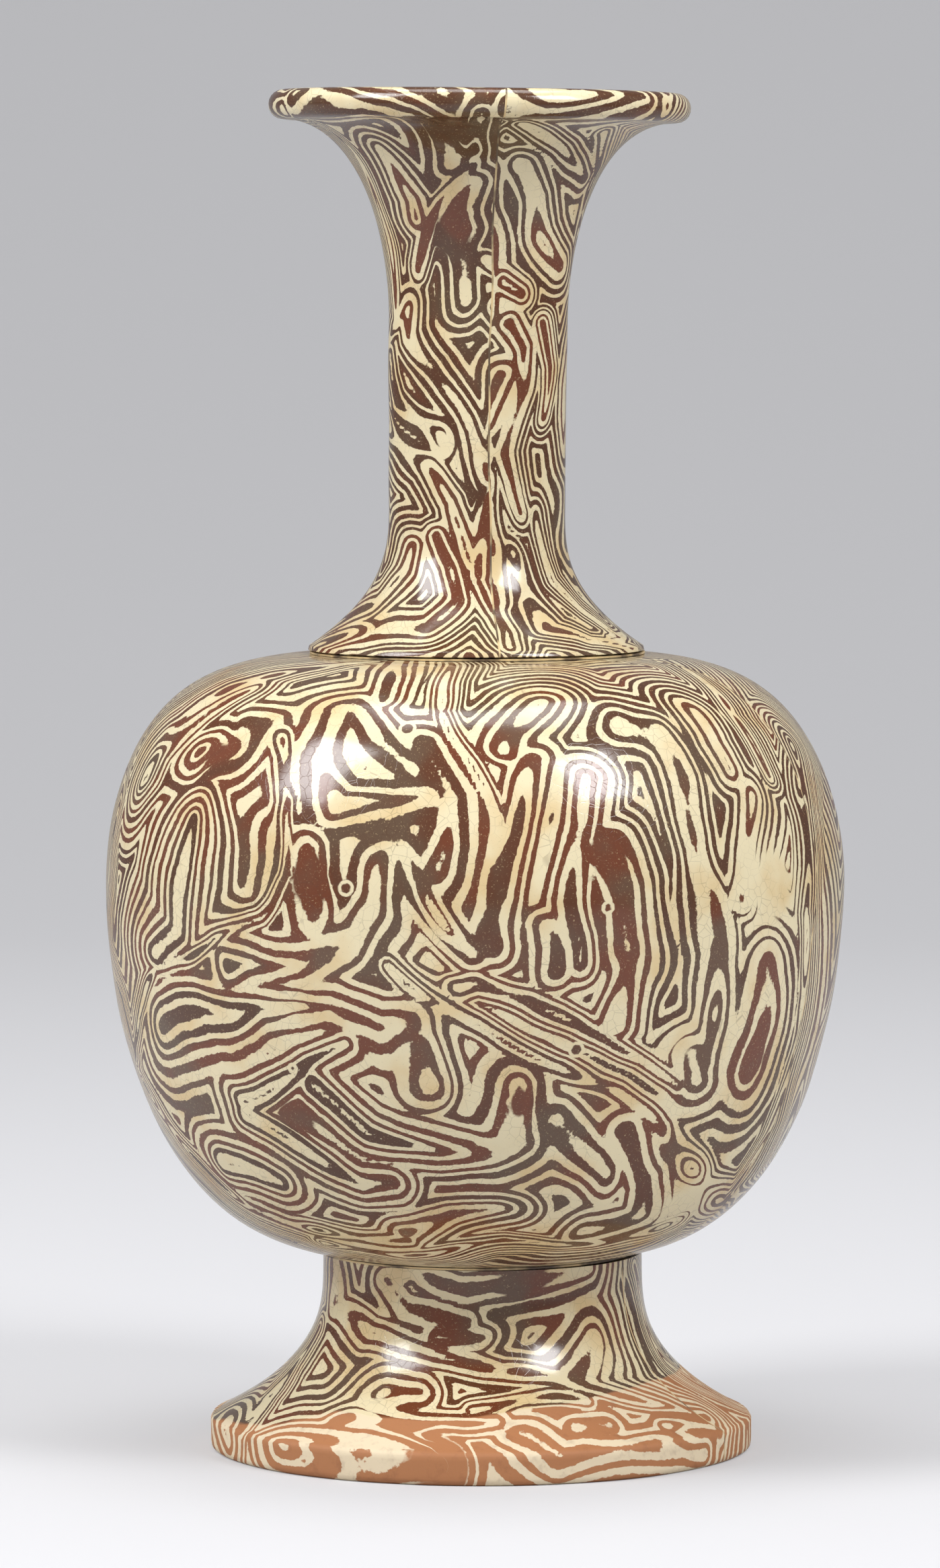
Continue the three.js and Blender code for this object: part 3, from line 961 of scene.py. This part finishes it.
slip_line("body_slip_skin", "body_luting", body_line, (BODY_SEAM, BODY_SEAM + math.pi), body_lean, slip)
slip_line("neck_front_slip_skin", "neck_front_luting", neck_line, (NECK_SEAM,), neck_lean, slip)
slip_line("neck_back_slip_skin", "neck_back_luting", neck_line, (NECK_SEAM + math.pi,), neck_lean, slip)
slip_line("foot_right_slip_skin", "foot_right_luting", foot_line, (FOOT_SEAM,), foot_lean, slip)
slip_line("foot_left_slip_skin", "foot_left_luting", foot_line, (FOOT_SEAM + math.pi,), foot_lean, slip)
for name in ("neck_base_luting", "foot_top_luting"):
    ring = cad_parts[name]
    ring.data.materials.clear()
    ring.data.materials.append(slip)


# Floor, light and camera

PAPER_LIFT = 0.25
PAPER_HALF_WIDTH = 4.0
PAPER_FRONT = -3.0
PAPER_BEND_START = 0.9
PAPER_BEND_RADIUS = 1.6
PAPER_TOP = 4.5


def area_light(name, place, target, size, power):
    data = bpy.data.lights.new(name, "AREA")
    data.shape = "RECTANGLE"
    data.size, data.size_y = size
    data.energy = power
    light = link(name, data)
    light.location = place
    direction = Vector(target) - Vector(place)
    light.rotation_euler = direction.to_track_quat("-Z", "Y").to_euler()


def paper():
    """Pale paper, lifted a little for the camera alone so that it stays pale and seamless."""
    material = bpy.data.materials.new("backdrop_paper")
    n = Nodes(material)
    seen = n.add("ShaderNodeLightPath").outputs["Is Camera Ray"]
    lift = n.math("MULTIPLY", seen, PAPER_LIFT)
    shader = n.add("ShaderNodeBsdfPrincipled", {
        "Base Color": PAPER, "Roughness": 0.9, "Emission Color": PAPER_GLOW,
        "Emission Strength": lift})
    shader.inputs["Specular IOR Level"].default_value = 0.1
    n.add("ShaderNodeOutputMaterial", {"Surface": shader.outputs[0]})
    return material


def stage():
    """A sheet of paper that lies under the vase and bends up behind it."""
    turn = np.linspace(0, math.pi / 2, 40)
    run = [(PAPER_FRONT, 0.0)]
    run += [(PAPER_BEND_START + PAPER_BEND_RADIUS * math.sin(t), PAPER_BEND_RADIUS * (1 - math.cos(t)))
            for t in turn]
    run += [(PAPER_BEND_START + PAPER_BEND_RADIUS, PAPER_TOP)]
    places = [(side * PAPER_HALF_WIDTH, y, z) for y, z in run for side in (-1, 1)]
    faces = [(2 * k, 2 * k + 1, 2 * k + 3, 2 * k + 2) for k in range(len(run) - 1)]
    mesh = bpy.data.meshes.new("backdrop")
    mesh.from_pydata(places, [], faces)
    mesh.shade_smooth()
    backdrop = link("backdrop", mesh)
    mesh.materials.append(paper())


WHITE = (1, 1, 1, 1)
WORLD_STRENGTH = 0.40


def world_light():
    """Soft white light from all sides; the camera sees a pale grey where the paper ends."""
    world = bpy.data.worlds.new("studio")
    bpy.context.scene.world = world
    n = Nodes(world)
    path = n.add("ShaderNodeLightPath")
    seen = n.math("MAXIMUM", path.outputs["Is Camera Ray"], path.outputs["Is Transmission Ray"])
    soft = n.add("ShaderNodeBackground", {"Color": WHITE, "Strength": WORLD_STRENGTH})
    shown = n.add("ShaderNodeBackground", {"Color": HORIZON, "Strength": 1.0})
    mixed = n.add("ShaderNodeMixShader", {0: seen, 1: soft.outputs[0], 2: shown.outputs[0]})
    n.add("ShaderNodeOutputWorld", {"Surface": mixed.outputs[0]})


def camera():
    data = bpy.data.cameras.new("camera")
    data.sensor_fit = "VERTICAL"
    data.sensor_height = CAMERA_SENSOR
    data.lens = CAMERA_LENS
    data.clip_end = 100
    view = link("camera", data)
    view.location = (-CAMERA_LEFT * MM, -CAMERA_DISTANCE * MM, CAMERA_HEIGHT * MM)
    view.rotation_euler = (math.pi / 2 - CAMERA_PITCH, 0, 0)
    bpy.context.scene.camera = view


stage()
world_light()
area_light("key_left", place=(-0.73, -0.36, 0.85), target=(0, 0, 0.11), size=(0.42, 0.60), power=8.5)
area_light("key_right", place=(0.60, -0.54, 0.84), target=(0, 0, 0.11), size=(0.36, 0.42), power=6.5)
area_light("top", place=(0.0, 0.10, 1.3), target=(0, 0, 0.1), size=(0.8, 0.6), power=6)
camera()
bpy.context.scene.view_settings.view_transform = "Standard"
